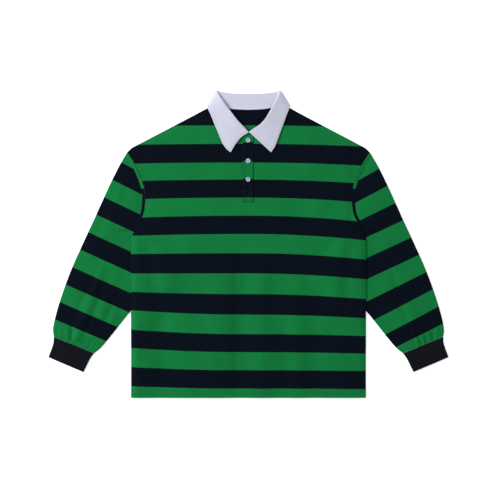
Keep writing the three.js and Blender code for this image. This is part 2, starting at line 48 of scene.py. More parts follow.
# %% [markdown]
# ## Helpers for smooth shapes
# Cloth has no straight lines, so most sizes are blended. `ease` is the S-curve between two places,
# `hump` is a soft ridge, and `through` is a smooth curve through a few rows of numbers, like a
# ruler bent round pins.


# %% Smooth blends and curves
def mix(a, b, s):
    return a + (b - a) * s


def ease(start, end, value):
    s = min(max((value - start) / (end - start), 0.0), 1.0)
    return s * s * (3 - 2 * s)


def hump(distance, reach):
    return 1 - ease(0, reach, abs(distance))


def through(rows, share):
    """The smooth curve through the rows, at a share of the way from the first to the last."""
    spot = min(max(share, 0.0), 1.0) * (len(rows) - 1)
    k = min(int(spot), len(rows) - 2)
    w = spot - k
    before, a, b, after = rows[max(k - 1, 0)], rows[k], rows[k + 1], rows[min(k + 2, len(rows) - 1)]
    out = []
    for p, q, r, s in zip(before, a, b, after):
        leave, arrive = (r - p) / 2, (s - q) / 2
        square = 3 * (r - q) - 2 * leave - arrive
        cube = 2 * (q - r) + leave + arrive
        out.append(q + leave * w + square * w**2 + cube * w**3)
    return out


print("a curve through three pins, halfway:", through([(0, 0), (1, 2), (2, 0)], 0.5))

# %% [markdown]
# ## The shirt's own sizes
# These are the lengths of the pattern, in millimetres: how thick each cloth is, where the armhole,
# neck and hem run, and how the two layers of the body lie on each other. `out` is the distance from
# the centre line and `up` runs from the hem to the collar. The wearer's left is +X.

# %% Sizes of the body
JERSEY, TWILL, RIB, BAND = 1.2, 1.6, 2.2, 1.6  # the wall of each cloth
GAP = 0.3  # left between two pieces
HALF_CHEST, HEM_Y, HEM_DEPTH, HEM_FADE = 300, -391.6, 20, 3
ARMPIT, SHOULDER_BEND, NECK_POINT = (300, 16), (299, 246), (89.5, 356)
ARMHOLE = [
    (309.8, 235.2), (292, 206.8), (276, 172.3), (265.4, 139),
    (264.3, 112), (268.4, 77.7), (281.2, 51.6), ARMPIT,
]
FRONT_NECK = [(0, 284), (18, 290), (48, 309), (72, 333), NECK_POINT]
BACK_NECK = [(0, 344), (45, 346.5), NECK_POINT]
TUCK = [ARMPIT, (238, -90), (300, -169.5)]  # the part of the sleeve that lies under the body
FALL_CORNER, FALL_CENTRE = (105.8, 354.6), 332  # the collar's fall, folded under the back
print("half chest", HALF_CHEST, "mm; length", NECK_POINT[1] - HEM_Y, "mm")

# %% [markdown]
# ## How high each layer lies
# The back lies on the table. It rises a little where the sleeve is tucked under it and where the
# collar folds under its neck. The front lies on the back with air between them, and its creases are
# soft ridges and troughs along listed lines, uneven in length, width and height.

# %% Heights of the two body layers
SLEEVE_SLOPE, FALL_SLOPE = (32, 78), (8, 44)  # where the body comes down again beside what lies under it
LOW_LOFT, HIGH_LOFT, LOFT_SPAN = 3.4, 1.6, (0, 150)  # air under the front, below and above the chest
WAVE_HIGH, WAVE_SIZE, RIPPLE_HIGH, RIPPLE_SIZE = 1.3, 95, 0.5, 38
EDGE_FADE, NECK_FADE, HEM_PRESS = (-3, 18), (-10, 40), 0.45
CREASE_FADE = (-0.02, 0.35)  # each crease grows over this share of its length
# Columns: from (x, y), to (x, y), how far it reaches to each side, and its height. A trough is negative.
BODY_CREASES = [
    (-80, 10, -88, -392, 46, 2.6),
    (-22, 40, -20, -392, 32, -4.6),
    (32, 30, 36, -392, 34, 3.0),
    (88, -130, 92, -392, 34, -2.2),
    (122, -40, 124, -392, 34, 2.2),
    (168, -120, 172, -392, 34, -2.2),
    (236, -160, 250, -392, 46, 1.8),
    (-160, -150, -150, -392, 50, 1.6),
    (-226, -110, -222, -392, 38, -2.8),
    (-286, -150, -286, -392, 46, 2.2),
    (-262, 20, -236, -150, 26, -2.4),
    (-232, 24, -196, -150, 34, 2.0),
    (262, 30, 246, -150, 24, -1.8),
    (240, 40, 214, -190, 34, 1.8),
    (-262, 196, -252, 130, 18, -1.8),
    (-236, 120, -150, 70, 34, 1.4),
    (250, 150, 170, 90, 34, 1.6),
    (150, 30, 60, -30, 40, 1.2),
]


def past_line(a, b, x, y):
    """How far (x, y) lies to the right of the line from a to b."""
    length = math.hypot(b[0] - a[0], b[1] - a[1])
    return ((x - a[0]) * (b[1] - a[1]) - (y - a[1]) * (b[0] - a[0])) / length


def crease_height(creases, x, y):
    total = 0.0
    for x0, y0, x1, y1, reach, high in creases:
        dx, dy = x1 - x0, y1 - y0
        length2 = dx * dx + dy * dy
        along = ((x - x0) * dx + (y - y0) * dy) / length2
        clamped = min(max(along, 0.0), 1.0)
        off = math.hypot(x - x0 - clamped * dx, y - y0 - clamped * dy)
        if off < reach:
            total += high * hump(off, reach) * ease(*CREASE_FADE, along)
    return total


def ripple(x, y, size, seed=0.0):
    return noise.noise(Vector((x / size, y / size, seed)))


def lift_over_sleeve(x, y):
    away = max(past_line(TUCK[0], TUCK[1], abs(x), y), past_line(TUCK[1], TUCK[2], abs(x), y))
    return (2 * JERSEY + 2.5 * GAP) * (1 - ease(*SLEEVE_SLOPE, away))


def lift_over_fall(x, y):
    edge_up = mix(FALL_CENTRE, FALL_CORNER[1], (x / FALL_CORNER[0]) ** 2)
    away = max(edge_up - y, abs(x) - FALL_CORNER[0])
    return (TWILL + 2 * GAP) * (1 - ease(*FALL_SLOPE, away))


def inside_edges(x, y):
    """How far (x, y) lies inside the nearest of the side, the shoulder and the armhole."""
    from_side = HALF_CHEST - abs(x)
    from_shoulder = past_line(NECK_POINT, SHOULDER_BEND, abs(x), y)
    from_armhole = ARMHOLE[4][0] - abs(x) if y > ARMPIT[1] else from_side
    return min(from_side, from_shoulder, mix(from_side, from_armhole, ease(ARMPIT[1], 60, y)))


def hem_share(y):
    return 1 - ease(HEM_Y + HEM_DEPTH, HEM_Y + HEM_DEPTH + HEM_FADE, y)


def back_top(x, y):
    return lift_over_sleeve(x, y) + lift_over_fall(x, y) + JERSEY * (1 + hem_share(y))


def front_top(x, y):
    fade = ease(*EDGE_FADE, inside_edges(x, y)) * ease(*NECK_FADE, NECK_POINT[1] - y)
    loft = mix(LOW_LOFT, HIGH_LOFT, ease(*LOFT_SPAN, y)) + crease_height(BODY_CREASES, x, y)
    loft = loft + WAVE_HIGH * ripple(x, y, WAVE_SIZE) + RIPPLE_HIGH * ripple(x, y, RIPPLE_SIZE, 5.0)
    at_hem = 1 - HEM_PRESS * hem_share(y)
    return back_top(x, y) + GAP + JERSEY * (1 + hem_share(y)) + max(loft, 0.0) * fade * at_hem


print("front's height at the chest centre:", round(front_top(0, 50), 2), "mm")

# %% [markdown]
# ## Stripes that follow the cloth
# The stripes are knitted in, so they sag where the cloth sags. Each piece carries a number called
# `stripe` that counts stripes along it: whole numbers are the edges between two colours, even
# stripes are green and odd ones navy. On the body it counts down from the neck, and drifts a little
# to the left and right.

# %% The stripe number on the body
STRIPE, FIRST_EDGE = 48.0, 304.0  # the width of a stripe, and the height of the first edge
# Columns: height, how far the stripes have drifted up there.
STRIPE_DRIFT = [
    (304, 0), (257, 0.7), (209, 0.9), (165, 5.4), (119, 7.4), (73, 9.4), (27, 10.6), (-22, 9.5),
    (-74, 6.1), (-127, 1.2), (-179, -3.2), (-229, -5), (-275, -3), (-321, -1), (-368, 0),
]
# Columns: height, droop at the wearer's right side, droop at the left side.
SIDE_DROOP = [
    (230, 2, 6), (160, 3, 9), (60, 5, 14), (-60, 1, 14),
    (-125, -5, 11), (-180, -10, 8), (-230, -10, 4), (-370, -5, 1),
]
DROOP_AT = 275  # the distance from the centre line at which the droop was set


def between_rows(rows, y):
    if y >= rows[0][0]:
        return rows[0][1:]
    for upper, lower in zip(rows, rows[1:]):
        if y >= lower[0]:
            s = ease(upper[0], lower[0], y)
            return [mix(p, q, s) for p, q in zip(upper[1:], lower[1:])]
    return rows[-1][1:]


def body_stripe(x, y):
    right_side, left_side = between_rows(SIDE_DROOP, y)
    droop = (left_side if x > 0 else right_side) * (x / DROOP_AT) ** 2
    level = y + droop
    return (FIRST_EDGE + between_rows(STRIPE_DRIFT, level)[0] - level) / STRIPE


print("stripes down the centre:", round(body_stripe(0, HEM_Y), 2))

# %% [markdown]
# ## Sheets from grids
# A cut piece of cloth is a grid, moved into the outline of its pattern piece, with a wall added by
# Solidify and its cut edges rounded by Bevel. The grid's flat coordinates become the `cloth` UV
# map, in metres, so that the knit runs along each piece however it lies.


# %% A sheet or tube from a grid
def finish_piece(obj, material, node, wall=0, offset=-1, round_edges=0.25):
    """Gives a mesh its material, wall and soft edges, and its place in the frame. Sizes are in mm."""
    obj.data.materials.append(material)
    for polygon in obj.data.polygons:
        polygon.use_smooth = True
    if wall:
        solidify = obj.modifiers.new("cloth wall", "SOLIDIFY")
        solidify.thickness = wall * MM
        solidify.offset = offset
        solidify.use_even_offset = False
    if round_edges:
        bevel = obj.modifiers.new("soft edge", "BEVEL")
        bevel.width = round_edges * MM
        bevel.segments = 2
        bevel.limit_method = "ANGLE"
        bevel.angle_limit = math.radians(50)
        bevel.harden_normals = False
    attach(obj, "root")
    if node:
        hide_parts(node)
    return obj


def mesh_object(name, bm):
    mesh = bpy.data.meshes.new(name)
    bm.to_mesh(mesh)
    bm.free()
    obj = bpy.data.objects.new(name, mesh)
    bpy.context.collection.objects.link(obj)
    print(f"{name}: {len(mesh.polygons)} faces")
    return obj


def grid_sheet(name, across, along, place, closed=False, keep=None):
    """A sheet, or a closed tube. place(u, v), with both from 0 to 1, gives a point, the place on the
    flat cloth in mm, and the values of the attributes. keep(centre) says which faces stay."""
    bm = bmesh.new()
    bmesh.ops.create_grid(bm, x_segments=across, y_segments=along, size=0.5)
    uv_layer = bm.loops.layers.uv.new("cloth")
    layers = {key: bm.verts.layers.float.new(key) for key in place(0.5, 0.5)[2]}
    spots = {vert: place(vert.co.x + 0.5, vert.co.y + 0.5) for vert in bm.verts}
    for vert, (point, _, values) in spots.items():
        vert.co = Vector(point) * MM
        for key, value in values.items():
            vert[layers[key]] = value
    for face in bm.faces:
        for loop in face.loops:
            flat = spots[loop.vert][1]
            loop[uv_layer].uv = (flat[0] * MM, flat[1] * MM)
    if keep:
        gone = [face for face in bm.faces if not keep(face.calc_center_median() / MM)]
        bmesh.ops.delete(bm, geom=gone, context="FACES")
    if closed:
        bmesh.ops.remove_doubles(bm, verts=bm.verts, dist=1e-6)
    bmesh.ops.recalc_face_normals(bm, faces=bm.faces)
    if not closed and sum(face.normal.z * face.calc_area() for face in bm.faces) < 0:
        bmesh.ops.reverse_faces(bm, faces=bm.faces)
    return mesh_object(name, bm)


# %% [markdown]
# ## Colours and nodes
# A colour picked on a screen is in sRGB. Blender's shaders want it linear, so each one is
# converted. The class below keeps the calls that add and join shader nodes short.


# %% Node helpers
def srgb(r, g, b):
    linear = [(v / 255 / 12.92) if v <= 10 else ((v / 255 + 0.055) / 1.055) ** 2.4 for v in (r, g, b)]
    return (*linear, 1.0)


GREEN, NAVY = srgb(14, 112, 55), srgb(3, 10, 22)
# the second black is for the ribbing's crests: a painted highlight
BLACK, CREST_HIGHLIGHT_BLACK = srgb(10, 12, 17), srgb(22, 25, 31)
WHITE, DIM_WHITE = srgb(200, 202, 219), srgb(190, 191, 208)
print("green in linear light:", [round(v, 3) for v in GREEN[:3]])


class Nodes:
    """A material's node tree, with short calls to add and join nodes."""

    def __init__(self, name):
        self.material = bpy.data.materials.new(name)
        self.material.use_nodes = True
        self.tree = self.material.node_tree
        self.shader = self.tree.nodes["Principled BSDF"]

    def add(self, kind, **settings):
        node = self.tree.nodes.new(kind)
        for key, value in settings.items():
            setattr(node, key, value)
        return node

    def join(self, out_socket, in_socket):
        self.tree.links.new(out_socket, in_socket)

    def math(self, operation, a, b=0.0, c=0.0):
        node = self.add("ShaderNodeMath", operation=operation)
        for socket, value in zip(node.inputs, (a, b, c)):
            if isinstance(value, (int, float)):
                socket.default_value = value
            else:
                self.join(value, socket)
        return node.outputs[0]

    def attribute(self, name):
        return self.add("ShaderNodeAttribute", attribute_name=name).outputs["Fac"]

    def cloth_xy(self):
        split = self.add("ShaderNodeSeparateXYZ")
        self.join(self.add("ShaderNodeUVMap", uv_map="cloth").outputs[0], split.inputs[0])
        return split.outputs["X"], split.outputs["Y"]

    def noise(self, scale, detail=2.0):
        node = self.add("ShaderNodeTexNoise")
        node.inputs["Scale"].default_value = scale
        node.inputs["Detail"].default_value = detail
        self.join(self.add("ShaderNodeTexCoord").outputs["Object"], node.inputs["Vector"])
        return node.outputs["Fac"]

    def mix_colour(self, share, a, b, blend="MIX"):
        node = self.add("ShaderNodeMix", data_type="RGBA", blend_type=blend)
        for socket, value in zip((node.inputs[0], node.inputs[6], node.inputs[7]), (share, a, b)):
            if isinstance(value, (int, float, tuple)):
                socket.default_value = value
            else:
                self.join(value, socket)
        return node.outputs[2]

    def shaded(self, colour, brightness):
        grey = self.add("ShaderNodeCombineColor")
        for socket in grey.inputs[:3]:
            self.join(brightness, socket)
        return self.mix_colour(1.0, colour, grey.outputs[0], "MULTIPLY")

    def bump(self, height, distance, strength):
        node = self.add("ShaderNodeBump")
        node.inputs["Distance"].default_value = distance
        node.inputs["Strength"].default_value = strength
        self.join(height, node.inputs["Height"])
        return node.outputs[0]


# %% [markdown]
# ## Jersey
# Jersey is a knit of small loops stacked in columns: from near it shows rows of little Vs, and from
# afar it is matt with a faint bloom. The loops are a bump worked out from two waves, the bloom is
# sheen, and a slow noise keeps each stripe from being one flat colour. The sleeves' jersey also has
# a strip along the armhole, green above and navy below, where the attribute `seam` says how far
# away the seam is.


# %% Jersey material
WALE, COURSE, LEAN = 1.5 * MM, 1.15 * MM, 0.45  # width and height of a loop, and how far its legs lean
STRIP_CHANGE_Y, STRIP_WIDTH, STRIP_END_Y = 143, 7.5, 48


def knit_height(n):
    x, y = n.cloth_xy()
    column = n.math("MULTIPLY", x, math.pi / WALE)
    leg = n.math("ABSOLUTE", n.math("SINE", column))
    lean = n.math("MULTIPLY_ADD", leg, LEAN * 2 * math.pi, n.math("MULTIPLY", y, 2 * math.pi / COURSE))
    loop = n.math("MULTIPLY_ADD", n.math("SINE", lean), 0.5, 0.5)
    return n.math("MULTIPLY_ADD", loop, 0.5, leg)


def jersey(name, armhole_strip=False):
    n = Nodes(name)
    fuzz = n.math("MULTIPLY_ADD", n.noise(900, 1), 0.05, -0.025)
    number = n.math("ADD", n.attribute("stripe"), fuzz)
    odd = n.math("GREATER_THAN", n.math("FRACT", n.math("MULTIPLY", number, 0.5)), 0.5)
    if armhole_strip:
        split = n.add("ShaderNodeSeparateXYZ")
        n.join(n.add("ShaderNodeTexCoord").outputs["Object"], split.inputs[0])
        low = n.math("LESS_THAN", split.outputs["Y"], STRIP_CHANGE_Y * MM)
        near = n.math("LESS_THAN", n.attribute("seam"), STRIP_WIDTH)
        off_strip = n.math("MULTIPLY", n.math("SUBTRACT", 1.0, near), odd)
        odd = n.math("ADD", n.math("MULTIPLY", near, low), off_strip)
    colour = n.mix_colour(odd, GREEN, NAVY)
    cloudy = n.math("MULTIPLY_ADD", n.noise(14, 3), 0.3, -0.15)
    speckle = n.math("MULTIPLY_ADD", n.noise(1400, 1), 0.4, -0.2)
    shade = n.math("ADD", n.math("ADD", cloudy, speckle), 1.0)
    n.join(n.shaded(colour, shade), n.shader.inputs["Base Color"])
    n.shader.inputs["Roughness"].default_value = 0.92
    n.shader.inputs["Specular IOR Level"].default_value = 0.06
    n.shader.inputs["Sheen Weight"].default_value = 0.02
    n.shader.inputs["Sheen Roughness"].default_value = 0.5
    n.join(n.bump(knit_height(n), 0.25 * MM, 0.6), n.shader.inputs["Normal"])
    return n.material


body_cloth = jersey("striped jersey")
sleeve_cloth = jersey("striped jersey, sleeve", armhole_strip=True)
print("jersey made")

# %% [markdown]
# ## Front and back
# Both panels have the same sides, armholes and shoulders, and differ at the neck. Their outline is
# four curves: the hem, the two sides and the top. The grid is stretched between the four, so that
# its rows and columns bend gently from one to the other.

# %% The outline of a body panel
SIDE_STEPS = 60  # along the armhole


def side_path():
    points = [(HALF_CHEST, HEM_Y), ARMPIT]
    points += [tuple(through(ARMHOLE, 1 - i / SIDE_STEPS)) for i in range(1, SIDE_STEPS + 1)]
    points.append(SHOULDER_BEND)
    return points


def along_path(points, share):
    lengths = [math.dist(a, b) for a, b in zip(points, points[1:])]
    target = share * sum(lengths)
    for a, b, length in zip(points, points[1:], lengths):
        if target <= length:
            return [mix(p, q, target / length) for p, q in zip(a, b)]
        target -= length
    return list(points[-1])


SIDE_PATH = side_path()


def neck_up(neck, x):
    """The height of the neck curve at x, found by halving."""
    low, high = 0.0, 1.0
    for _ in range(24):
        middle = (low + high) / 2
        if through(neck, middle)[0] < x:
            low = middle
        else:
            high = middle
    return through(neck, (low + high) / 2)[1]


def panel_spot(neck, u, v):
    """A place on the panel: u from the wearer's right side to the left, v from the hem to the top."""
    out = abs(2 * u - 1)
    sign = 1 if u >= 0.5 else -1
    top_x = out * SHOULDER_BEND[0]
    inside = top_x < NECK_POINT[0]
    slope = (SHOULDER_BEND[1] - NECK_POINT[1]) / (SHOULDER_BEND[0] - NECK_POINT[0])
    top_y = neck_up(neck, top_x) - 1 if inside else NECK_POINT[1] + slope * (top_x - NECK_POINT[0])
    side_x, side_y = along_path(SIDE_PATH, v)
    x = side_x * out
    straight_y = mix(HEM_Y, top_y, v)
    corner_y = mix(HEM_Y, SHOULDER_BEND[1], v)
    y = straight_y + (side_y - corner_y) * out**3
    return sign * x, y


# %% [markdown]
# ## The two panels
# The back comes straight from its outline. The front has a slot under the placket, so the grid's
# faces there are left out, and its neck point lies a little to the wearer's left. Its sides curl
# down to the back's, because the side seams hold the two together.

# %% Back and front panels
SLOT_START, SLOT_END, SLOT_FOOT = -11.3, 8.7, 114.4
CENTRE_SHIFT, RIM_DROP, RIM_REACH = 0.7, 0.9, 7


def rim_lift(x):
    return -RIM_DROP * (1 - ease(0, RIM_REACH, HALF_CHEST - abs(x)))


def place_back(u, v):
    x, y = panel_spot(BACK_NECK, u, v)
    return (x, y, back_top(x, y)), (x, y), {"stripe": body_stripe(x, y)}


def place_front(u, v):
    x, y = panel_spot(FRONT_NECK, u, v)
    x += CENTRE_SHIFT * (1 - abs(x) / HALF_CHEST)
    return (x, y, front_top(x, y) + rim_lift(x)), (x, y), {"stripe": body_stripe(x, y)}


def clear_of_slot(centre):
    return not (SLOT_START < centre.x < SLOT_END and centre.y > SLOT_FOOT)


back = grid_sheet("shirt_back", 150, 180, place_back)
finish_piece(back, body_cloth, "back_panel", wall=JERSEY)
front = grid_sheet("shirt_front", 150, 180, place_front, keep=clear_of_slot)
finish_piece(front, body_cloth, "front_panel", wall=JERSEY)

# %% [markdown]
# ## Sleeves
# A sleeve is one piece folded in two along its outer edge, with the seam under the arm. Lying flat
# it is a squashed tube. Each section runs from the outer fold to the underarm fold. Near the
# shoulder the sections bend to the armhole, and the part that turns in under the body is hidden
# from above.

# %% Sections of a sleeve
# Along the armhole. Columns: outer fold (out, up), how far down the armhole, air between the layers.
SLEEVE_HEAD = [
    (309.8, 235.2, 0, 0),
    (322, 215, 0.22, 0.6),
    (334, 193.5, 0.45, 1.6),
    (351, 159, 0.72, 2.4),
    (366, 127, 1, 2.8),
]
# Along the arm. Columns: outer fold (out, up), underarm fold (out, up), air between the layers.
SLEEVE_ARM = [
    (366, 127, 300, 16, 2.8),
    (374, 109, 284, -12, 3),
    (385, 85, 262, -48, 3.1),
    (392, 69, 243, -80, 3.2),
    (399, 54, 247, -107, 3.2),
    (425, -2, 272, -136, 3.2),
    (450, -58, 300, -169.5, 3.2),
    (471, -113, 327, -203, 3.4),
    (489, -169, 354, -237, 3.6),
    (499, -214, 377, -264, 3.6),
    (497, -236, 394, -278, 2.4),
]
HEAD_SHARE = 0.3  # the part of the grid that lies along the armhole
# The first edge's height on the outer fold, the step to the next, and their slopes from head to cuff.
SLEEVE_STRIPES = {
    -1: dict(first=209.9, step=44.6, slopes=[(0.53,), (0.47,), (0.455,), (0.435,), (0.42,)]),
    1: dict(first=193.8, step=44.0, slopes=[(0.57,), (0.47,), (0.47,), (0.53,), (0.48,)]),
}
STRIPES_ON_SLEEVE = 11
# As on the body: from (out, up) to (out, up), reach and height. The wearer's right sleeve is -1.
SLEEVE_CREASES = {
    -1: [
        (362, -30, 436, -236, 15, 3.0),
        (345, -60, 415, -225, 11, -2.0),
        (303, -58, 372, -211, 14, -2.4),
        (385, -60, 458, -215, 12, -1.6),
        (448, -196, 452, -242, 5, -3.0),
        (459, -190, 463, -238, 6, 2.0),
        (438, -200, 440, -240, 7, 1.6),
        (412, -236, 418, -252, 4, -1.6),
        (400, -240, 406, -262, 4, -1.6),
        (476, -205, 482, -240, 5, 1.3),
        (330, 90, 395, -20, 20, 1.2),
        (318, 178, 352, 60, 16, 1.0),
    ],
    1: [
        (398, -200, 425, -256, 4.5, -2.4),
        (410, -190, 433, -254, 5, 2.2),
        (420, -196, 440, -252, 4.5, -2.4),
        (434, -192, 447, -250, 5, 2.0),
        (446, -204, 453, -248, 4, -2.0),
        (469, -212, 470, -244, 4, -2.4),
        (482, -206, 483, -240, 5, 1.4),
        (380, -60, 428, -215, 18, 1.8),
        (352, -20, 402, -190, 12, -1.6),
        (330, 60, 372, -60, 18, 1.2),
    ],
}


def outer_fold_at(up):
    fold = SLEEVE_HEAD + SLEEVE_ARM[1:]
    for a, b in zip(fold, fold[1:]):
        if up >= b[1]:
            return mix(a[0], b[0], (a[1] - up) / (a[1] - b[1]))
    return fold[-1][0]


def stripe_lines(side):
    rows = SLEEVE_STRIPES[side]
    lines = []
    for k in range(STRIPES_ON_SLEEVE):
        up = rows["first"] - k * rows["step"]
        lines.append((outer_fold_at(up), up, through(rows["slopes"], k / (STRIPES_ON_SLEEVE - 1))[0]))
    return lines


STRIPE_LINES = {side: stripe_lines(side) for side in (-1, 1)}
print("stripe edges on a sleeve:", len(STRIPE_LINES[1]))


def sleeve_stripe(side, out, up):
    below = [row[1] - up + row[2] * (out - row[0]) for row in STRIPE_LINES[side]]
    k = 0
    while k < len(below) - 2 and below[k + 1] > 0:
        k += 1
    return 1 + k + below[k] / (below[k] - below[k + 1])


# %% [markdown]
# ## The surface of a squashed tube
# A sleeve's section is a very flat oval, nearly square where it is sewn on. Its underside lies on
# the table. Its upper side has the air, the creases, the gathers above the cuff, and a hollow and a
# small ridge along the armhole. It is pressed flat where it lies under the body.

# %% The two sleeves
FOLD_POWER, SEAM_POWER = 7, 400  # how square the section is at a fold, and where it is sewn on
SEAM_STEP = 0.1  # the sleeve's edge lies this far from the body's
SLEEVE_LENGTH = 520
UNDER_BODY = (HALF_CHEST + 12, HALF_CHEST + 60)  # the sleeve comes up from under the body between these
NEAR_ARMHOLE = (345, -10)  # the armhole is looked for only nearer the body and higher up than this
FAR = 99.0  # stands for "not near", in mm
ARCH, SLEEVE_WAVE_HIGH, SLEEVE_WAVE_SIZE = 0.4, 0.9, 60
GATHER_START, GATHER_HIGH, GATHERS = 0.93, 0.7, 46
SEAM_FADE = (-4, 22)
SEAM_WAVES = [(-2.4, 12, 8), (1.5, 3, 6)]  # columns: height, distance from the seam, reach
ARMHOLE_STEPS = 80
ARMHOLE_POINTS = [tuple(through(ARMHOLE, i / ARMHOLE_STEPS)) for i in range(ARMHOLE_STEPS + 1)]


def tube_angle(u, seam=False):
    """Round the tube once: over the top from the outer fold to the inner one, then back underneath."""
    angle = 2 * math.pi * u
    across = (1 - math.cos(angle)) / 2
    power = SEAM_POWER if seam and across > 0.5 else FOLD_POWER
    fullness = (1 - abs(math.cos(angle)) ** power) ** (1 / power)
    return across, fullness, angle <= math.pi


def sleeve_section(v):
    """Both ends of the sleeve's section at v, and its air."""
    if v < HEAD_SHARE:
        out_x, out_y, down, air = through(SLEEVE_HEAD, v / HEAD_SHARE)
        return (out_x, out_y), through(ARMHOLE, down), air
    out_x, out_y, in_x, in_y, air = through(SLEEVE_ARM, (v - HEAD_SHARE) / (1 - HEAD_SHARE))
    return (out_x, out_y), (in_x, in_y), air


def armhole_distance(x, y):
    return min(math.dist((x, y), p) for p in ARMHOLE_POINTS)


def sleeve_height(side, x, y, across, v, loft):
    """How high the sleeve's upper layer lies."""
    clear = ease(*UNDER_BODY, x) if y < ARMPIT[1] + 20 else 1.0
    seam = armhole_distance(x, y) if x < NEAR_ARMHOLE[0] and y > NEAR_ARMHOLE[1] else FAR
    air = loft * (1 - ARCH + ARCH * math.sin(math.pi * across))
    air += SLEEVE_WAVE_HIGH * ripple(side * x, y, SLEEVE_WAVE_SIZE, 3.0)
    air += crease_height(SLEEVE_CREASES[side], x, y)
    uneven = 5 * ripple(across * 90, 0, 20, side)
    gather = ease(GATHER_START, 1.0, v) * math.sin(across * GATHERS + uneven)
    along_seam = sum(high * hump(seam - at, reach) for high, at, reach in SEAM_WAVES)
    raised = max(air + GATHER_HIGH * gather, 0.1) * clear * ease(*SEAM_FADE, seam)
    return 2 * JERSEY + GAP + raised + max(along_seam * clear, -0.2)


def sleeve_place(side):
    def place(u, v):
        across, fullness, upper = tube_angle(u, seam=v < HEAD_SHARE)
        outer, inner, air = sleeve_section(v)
        x = mix(outer[0], inner[0], across) + SEAM_STEP
        y = mix(outer[1], inner[1], across)
        height = sleeve_height(side, x, y, across, v, air)
        half = (2 * JERSEY + GAP) / 2
        z = half + (height - half) * fullness if upper else half * (1 - fullness)
        width = math.dist(outer, inner)
        flat = (across * width if upper else 2 * width - across * width, v * SLEEVE_LENGTH)
        near = upper and v < HEAD_SHARE and y > STRIP_END_Y
        values = {"stripe": sleeve_stripe(side, x, y), "seam": armhole_distance(x, y) if near else FAR}
        return (side * x, y, z), flat, values

    return place


for side, hand in ((-1, "right"), (1, "left")):
    sleeve = grid_sheet(f"shirt_sleeve_{hand}", 96, 120, sleeve_place(side), closed=True)
    finish_piece(sleeve, sleeve_cloth, f"sleeve_{hand}", wall=JERSEY)

# %% [markdown]
# ## Cuffs
# The cuff is ribbing folded double, so it is thicker than the sleeve and its open end is a soft
# fold. Its ribs are a bump that runs along the arm, and their crests are painted a little lighter,
# a painted highlight.

# %% Cuff material and pieces
# Columns: outer edge (out, up), inner edge (out, up), puff of the middle.
CUFF = [
    (497, -236, 394, -278, 0.6),
    (498.5, -254, 404, -292, 0.8),
    (510.3, -287.3, 420.5, -325.4, 0.8),
]
RIB_PITCH = 2.6 * MM


def ribbing(name):
    n = Nodes(name)
    x, y = n.cloth_xy()
    wave = n.math("SINE", n.math("MULTIPLY", x, 2 * math.pi / RIB_PITCH))
    rib = n.math("MULTIPLY_ADD", wave, 0.5, 0.5)
    loops = n.math("SINE", n.math("MULTIPLY", y, 2 * math.pi / COURSE))
    height = n.math("MULTIPLY_ADD", loops, 0.12, rib)
    # the ribs' crests are painted lighter than their hollows: a painted highlight
    share = n.math("MULTIPLY", rib, n.math("MULTIPLY_ADD", n.noise(300), 0.5, 0.6))
    n.join(n.mix_colour(share, BLACK, CREST_HIGHLIGHT_BLACK), n.shader.inputs["Base Color"])
    n.shader.inputs["Roughness"].default_value = 0.95
    n.shader.inputs["Specular IOR Level"].default_value = 0.06
    n.shader.inputs["Sheen Weight"].default_value = 0.02
    n.join(n.bump(height, 0.7 * MM, 0.8), n.shader.inputs["Normal"])
    return n.material


def cuff_place(side):
    first, last = CUFF[0], CUFF[-1]
    run = math.dist(first[0:2], last[0:2])
    step = [(last[0] - first[0]) * 2 * GAP / run, (last[1] - first[1]) * 2 * GAP / run]

    def place(u, v):
        across, fullness, upper = tube_angle(u)
        row = through(CUFF, v)
        x = mix(row[0], row[2], across) + step[0] + 1.5 * GAP
        y = mix(row[1], row[3], across) + step[1]
        flat_height = 2 * RIB + GAP
        half = flat_height / 2
        puff = row[4] * math.sin(math.pi * across) + 0.5 * ripple(x, y, 22, 8.0) * ease(0, 0.2, v)
        height = flat_height + puff
        z = half + (height - half) * fullness if upper else half * (1 - fullness)
        width = math.dist(row[0:2], row[2:4])
        flat = (across * width if upper else 2 * width - across * width, v * run)
        return (side * x, y, z), flat, {}

    return place


cuff_rib = ribbing("black ribbing")
for side, hand in ((-1, "right"), (1, "left")):
    cuff = grid_sheet(f"shirt_cuff_{hand}", 88, 16, cuff_place(side), closed=True)
    finish_piece(cuff, cuff_rib, f"cuff_{hand}", wall=RIB, round_edges=0.8)

# %% [markdown]
# ## Collar
# The collar is one sheet that runs round the neck. Across it, it rises from the neck seam as the
# stand, turns over at the roll and falls to its free edge. At the front the fall lies on the shirt
# as two leaves; at the back it is folded under the shirt, so only the inside of the stand shows.

# %% Stations round the collar
# Columns: roll (out, up, z), free edge (out, up, lift), turn of the fold in degrees, hollow of the leaf.
LEFT_LEAF = [
    (2.2, 285.6, 8.2, 57.5, 235, 1.2, 0, 0),
    (14.5, 294.5, 9.5, 67, 249, 1.4, 0, 0),
    (28.6, 303.8, 10.6, 74, 267, 1.6, 0, 0),
    (41.7, 317.5, 11.6, 82, 289, 1.6, 0, 0),
    (51.8, 333.5, 12, 89.5, 309, 1.4, 0, 0),
    (61.5, 352.5, 11.6, 96.5, 328.5, 1.2, 8, 0),
    (72, 374, 10.2, 103, 345, 1, 30, 0),
]
RIGHT_LEAF = [
    (0.8, 285.6, 8.2, 45.5, 235, 1.2, 0, 5.5),
    (13.3, 299.4, 9.5, 56, 243.5, 1.4, 0, 0),
    (25.6, 312, 10.6, 66.5, 258.5, 1.6, 0, 0),
    (37.8, 327.4, 11.6, 76.5, 282.8, 1.6, 0, 0),
    (48.3, 341.8, 12, 87, 307, 1.4, 0, 0),
    (59.1, 356, 11.6, 95.5, 328.5, 1.2, 8, 0),
    (70.6, 374, 10.2, 103, 345, 1, 30, 0),
]
